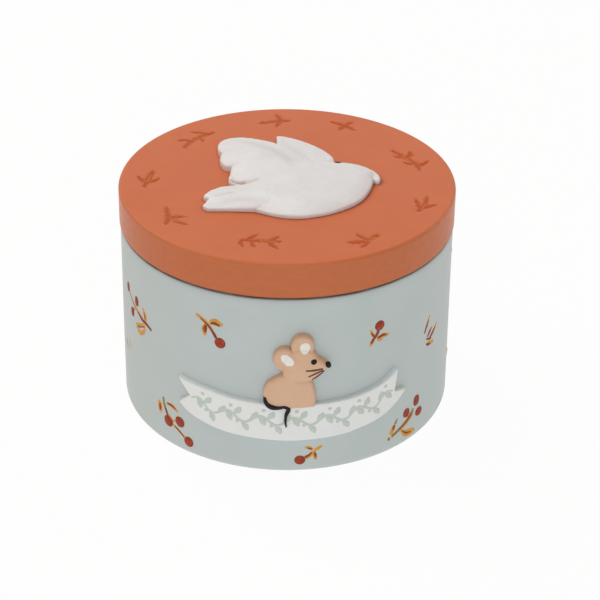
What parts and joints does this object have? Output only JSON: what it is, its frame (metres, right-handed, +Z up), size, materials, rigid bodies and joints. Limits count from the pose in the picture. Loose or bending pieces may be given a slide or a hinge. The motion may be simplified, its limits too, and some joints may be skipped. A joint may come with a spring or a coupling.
{
  "type": "baby tooth box",
  "caption": "Small round keepsake pot with a lift-off lid, a dove in relief on the lid and a mouse over a ribbon on its front, for milk teeth.",
  "frame": {"origin": "on the axis of the pot, in the plane where the felt pad meets the table", "axes": "+Z up along the axis of the pot, front with the mouse and ribbon towards -Y, +X to the right seen from the front"},
  "size_m": [0.07, 0.0721, 0.0535],
  "materials": {
    "pot_paint": "grey-blue matt paint on cast resin",
    "lid_paint": "terracotta matt paint on cast resin",
    "dove_paint": "white matt paint on cast resin",
    "ribbon_paint": "off-white matt paint on cast resin",
    "mouse_paint": "fawn matt paint on cast resin",
    "tail_paint": "black-brown matt paint on cast resin",
    "felt": "thin wool-mix felt"
  },
  "bodies": {
    "pot": {"pot": "pot_paint", "ribbon": "ribbon_paint", "mouse": "mouse_paint", "mouse_tail": "tail_paint", "felt_pad": "felt"},
    "lid": {"lid": "lid_paint", "dove": "dove_paint"}
  },
  "joints": [
    {"name": "lid_lift", "type": "slide", "parent": "pot", "child": "lid", "axis": [0, 0, 1], "range_m": [0, 0.06]}
  ]
}
